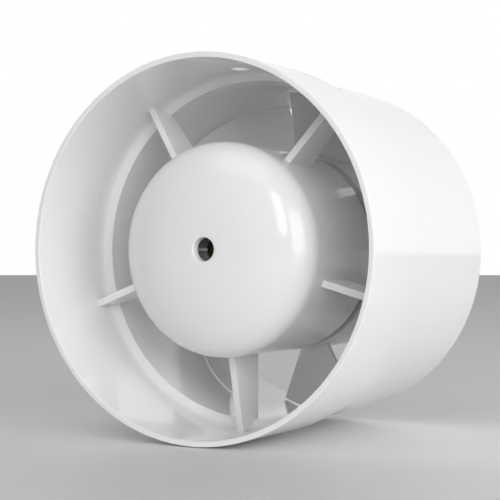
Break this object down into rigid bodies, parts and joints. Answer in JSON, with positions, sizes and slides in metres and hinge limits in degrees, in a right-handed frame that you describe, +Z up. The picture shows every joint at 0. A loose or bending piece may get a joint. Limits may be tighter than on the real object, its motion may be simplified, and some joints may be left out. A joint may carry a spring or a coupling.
{
  "type": "inline duct extractor fan",
  "caption": "Round in-line duct extractor fan: stepped white tube, domed motor housing held on flat radial vanes, and a bladed axial impeller turning on the motor shaft behind it.",
  "frame": {"origin": "on the fan axis, half-way along the tube, which is the centre of the bounding box", "axes": "+Y along the fan axis from the domed intake side to the impeller side, the way the air is blown; +Z up, with the cable hole on top; +X to the right when the dome is looked at"},
  "size_m": [0.1026, 0.0816, 0.1026],
  "materials": {
    "casing_plastic": "smooth white moulded ABS with a light satin gloss",
    "impeller_plastic": "smooth white moulded plastic",
    "zinc_casting": "bare die-cast zinc",
    "lamination_steel": "varnished stamped electrical steel, edges showing as fine lines",
    "rotor_aluminium": "cast aluminium",
    "copper_winding": "lacquered copper wire",
    "shading_copper": "bare copper",
    "link_wire": "black sleeved wire",
    "bobbin_nylon": "natural nylon",
    "terminal_nylon": "white nylon",
    "washer_nylon": "natural nylon",
    "fuse_sleeve": "glass-fibre sleeve",
    "fastener_steel": "zinc-plated steel",
    "spring_steel": "spring steel",
    "shaft_steel": "ground steel",
    "bearing_bronze": "oil-filled sintered bronze",
    "oil_felt": "oiled felt",
    "washer_rubber": "black rubber"
  },
  "bodies": {
    "casing": {"duct_casing": "casing_plastic", "motor_housing": "casing_plastic", "front_bracket": "zinc_casting", "rear_end_shield": "zinc_casting", "stator_core": "lamination_steel", "coil_bobbin_1": "bobbin_nylon", "coil_winding_1": "copper_winding", "shading_band_front_1": "shading_copper", "shading_band_rear_1": "shading_copper", "coil_bobbin_2": "bobbin_nylon", "coil_winding_2": "copper_winding", "shading_band_front_2": "shading_copper", "shading_band_rear_2": "shading_copper", "coil_bobbin_3": "bobbin_nylon", "coil_winding_3": "copper_winding", "shading_band_front_3": "shading_copper", "shading_band_rear_3": "shading_copper", "coil_bobbin_4": "bobbin_nylon", "coil_winding_4": "copper_winding", "shading_band_front_4": "shading_copper", "shading_band_rear_4": "shading_copper", "front_bearing": "bearing_bronze", "rear_bearing": "bearing_bronze", "front_oil_felt": "oil_felt", "rear_oil_felt": "oil_felt", "front_bearing_clip": "spring_steel", "rear_bearing_clip": "spring_steel", "motor_bolt_1": "fastener_steel", "motor_nut_1": "fastener_steel", "motor_bolt_2": "fastener_steel", "motor_nut_2": "fastener_steel", "housing_screw_1": "fastener_steel", "vibration_washer_1": "washer_rubber", "housing_screw_2": "fastener_steel", "vibration_washer_2": "washer_rubber", "terminal_block": "terminal_nylon", "terminal_screw_live": "fastener_steel", "terminal_screw_neutral": "fastener_steel", "thermal_fuse": "fuse_sleeve", "coil_link_1": "link_wire", "coil_link_2": "link_wire", "coil_link_3": "link_wire"},
    "rotor": {"impeller": "impeller_plastic", "motor_shaft": "shaft_steel", "rotor_core": "lamination_steel", "rotor_end_ring_front": "rotor_aluminium", "rotor_end_ring_rear": "rotor_aluminium", "thrust_washer_front": "washer_nylon", "thrust_washer_rear": "washer_nylon", "hub_clip": "spring_steel"}
  },
  "joints": [
    {"name": "impeller_spin", "type": "hinge", "parent": "casing", "child": "rotor", "pos_m": [0, 0, 0], "axis": [0, -1, 0], "continuous": true}
  ]
}
